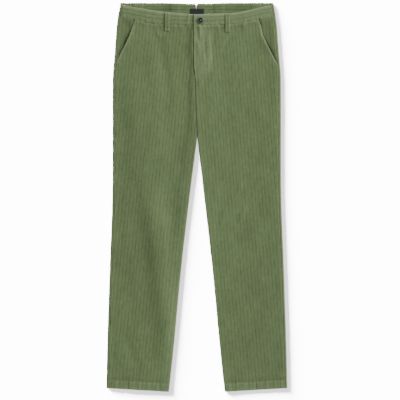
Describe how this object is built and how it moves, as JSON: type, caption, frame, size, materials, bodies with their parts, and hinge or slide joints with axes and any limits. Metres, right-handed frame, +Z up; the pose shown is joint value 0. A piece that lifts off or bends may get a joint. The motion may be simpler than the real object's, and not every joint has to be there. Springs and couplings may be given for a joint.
{
  "type": "tapered chinos",
  "caption": "Tapered corduroy chinos laid flat with the front up: slanted front pockets, buttoned waistband with belt loops, fly and stitched hems.",
  "frame": {"origin": "on the surface that the trousers lie on, under the middle of their bounding box", "axes": "+Z up from that surface, +Y towards the waist, +X to the right when the front is looked at from above with the waist away"},
  "size_m": [0.5058, 1.088, 0.0133],
  "materials": {
    "corduroy": "sage green cotton corduroy, soft nap on raised wales",
    "black_tape": "plain woven tape",
    "horn": "dark horn-look plastic, softly polished",
    "thread": "spun sewing thread"
  },
  "bodies": {
    "root": {"front_left": "corduroy", "front_right": "corduroy", "back_left": "corduroy", "back_right": "corduroy", "hem_front_left": "corduroy", "hem_front_right": "corduroy", "hem_back_left": "corduroy", "hem_back_right": "corduroy", "waistband_front_left": "corduroy", "waistband_front_right": "corduroy", "waistband_back_left": "corduroy", "waistband_back_right": "corduroy", "pocket_facing_left": "corduroy", "pocket_facing_right": "corduroy", "fly_facing": "corduroy", "belt_loop_front_left": "corduroy", "belt_loop_front_right": "corduroy", "belt_loop_back_left_1": "corduroy", "belt_loop_back_left_2": "corduroy", "belt_loop_back_right_1": "corduroy", "belt_loop_back_right_2": "corduroy", "label": "black_tape", "button": "horn", "button_thread": "thread"}
  },
  "joints": []
}
